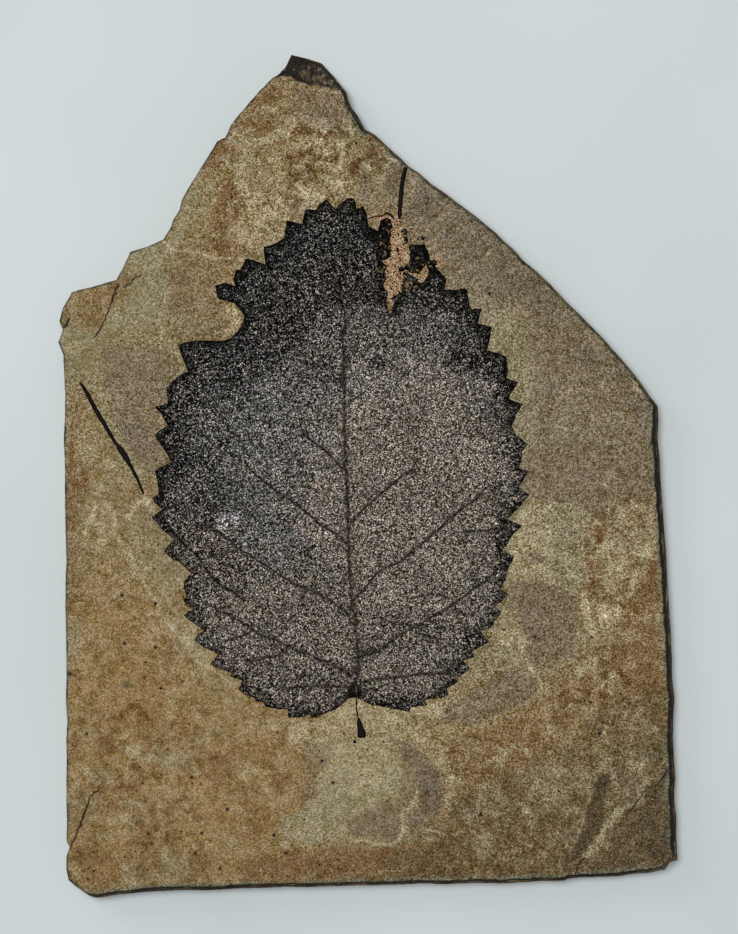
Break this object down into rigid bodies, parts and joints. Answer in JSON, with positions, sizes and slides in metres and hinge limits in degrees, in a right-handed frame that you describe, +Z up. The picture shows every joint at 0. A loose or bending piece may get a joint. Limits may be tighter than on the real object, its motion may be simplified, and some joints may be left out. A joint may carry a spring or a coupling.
{
  "type": "fossil leaf plate",
  "caption": "Split shale slab with a pointed end, carrying a broad toothed leaf kept as a thin carbon film, with a bit of stalk and stray needles; lies flat on its underside.",
  "frame": {"origin": "middle of the underside: the plan's centre, on the face that the slab rests on", "axes": "+Y along the plate's length towards its pointed end, +Z up out of the face that carries the leaf, +X to the right as the leaf is looked at"},
  "size_m": [0.124, 0.169, 0.0086],
  "materials": {
    "shale": "matt split shale, tan to purplish brown, with fine grain",
    "leaf_film": "carbonised leaf film, speckled dark grey, near black at the margin",
    "plant_fragment": "carbonised plant fragment, near black, slightly satin"
  },
  "bodies": {
    "root": {"slab": "shale", "leaf_blade": "leaf_film", "tip_speck": "leaf_film", "leaf_stalk": "plant_fragment", "needle_left": "plant_fragment", "needle_top": "plant_fragment"}
  },
  "joints": []
}
